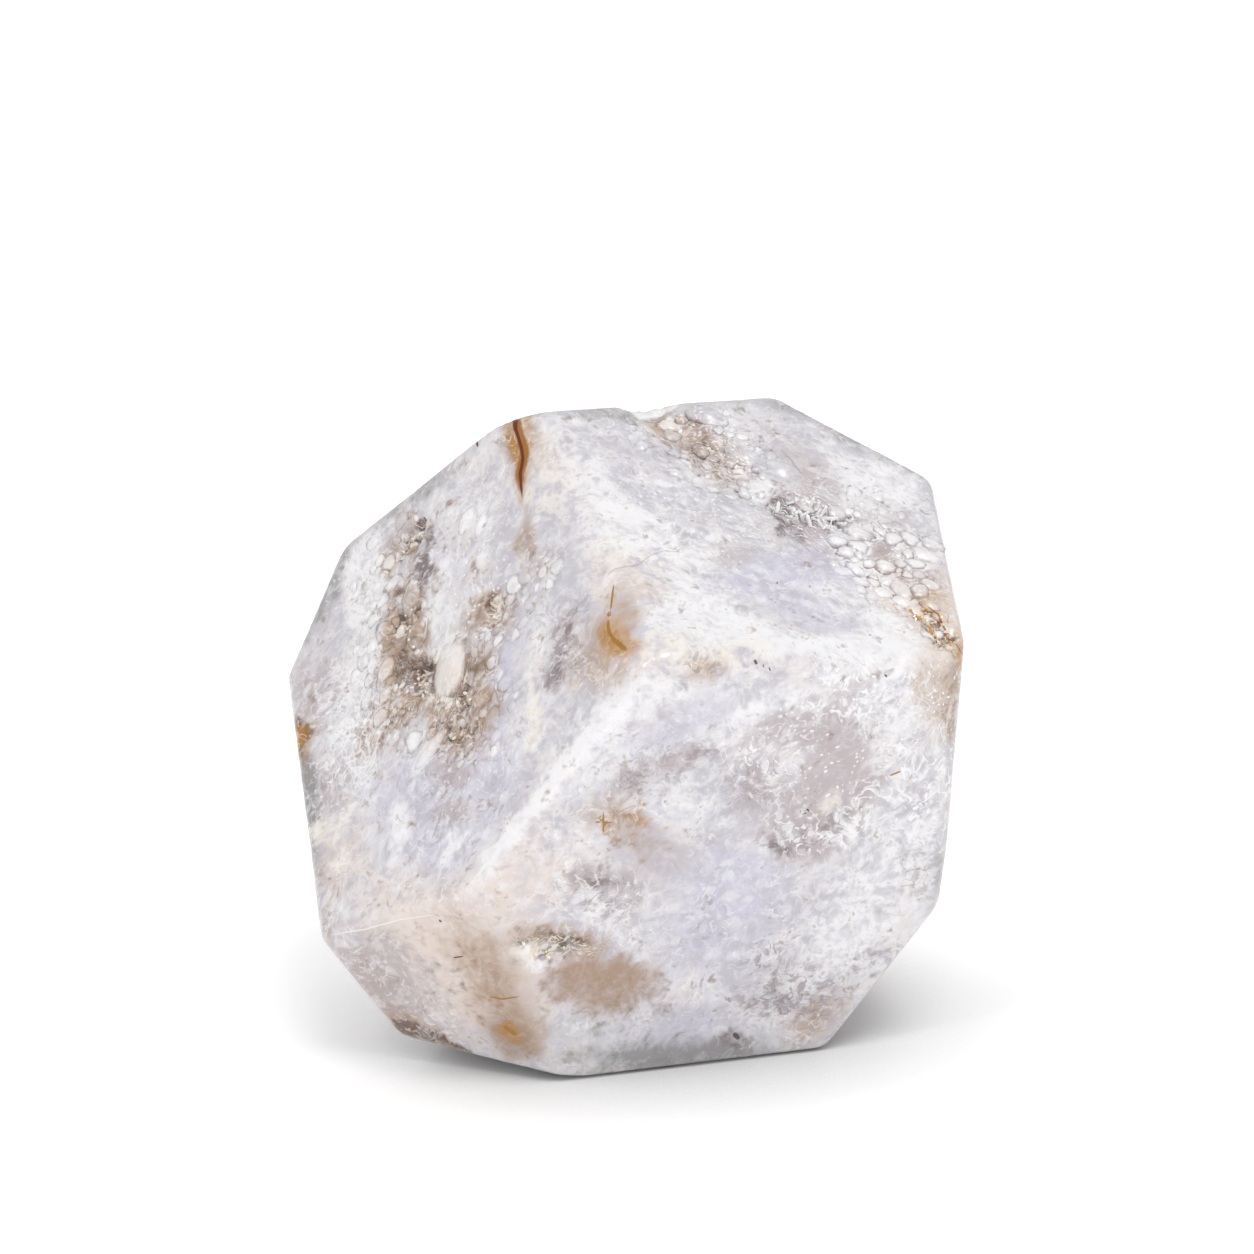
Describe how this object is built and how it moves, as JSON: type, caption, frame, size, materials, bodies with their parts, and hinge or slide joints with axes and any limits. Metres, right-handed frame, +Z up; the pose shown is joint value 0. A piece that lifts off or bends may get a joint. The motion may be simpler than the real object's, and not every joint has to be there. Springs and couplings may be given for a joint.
{
  "type": "flower agate freeform stone",
  "caption": "Palm-sized block of pale chalcedony, cut and polished to flat faces with rounded edges and small crystal-lined hollows; stands on a flat underside.",
  "frame": {"origin": "on the flat underside, under the heart of the stone", "axes": "+Z up from the flat underside, -Y to the front, +X to the right as seen from the front"},
  "size_m": [0.0534, 0.0468, 0.0493],
  "materials": {
    "polished_chalcedony": "polished, milky and slightly translucent, lavender grey to white with tan and rust patches"
  },
  "bodies": {
    "root": {"flower_agate": "polished_chalcedony"}
  },
  "joints": []
}
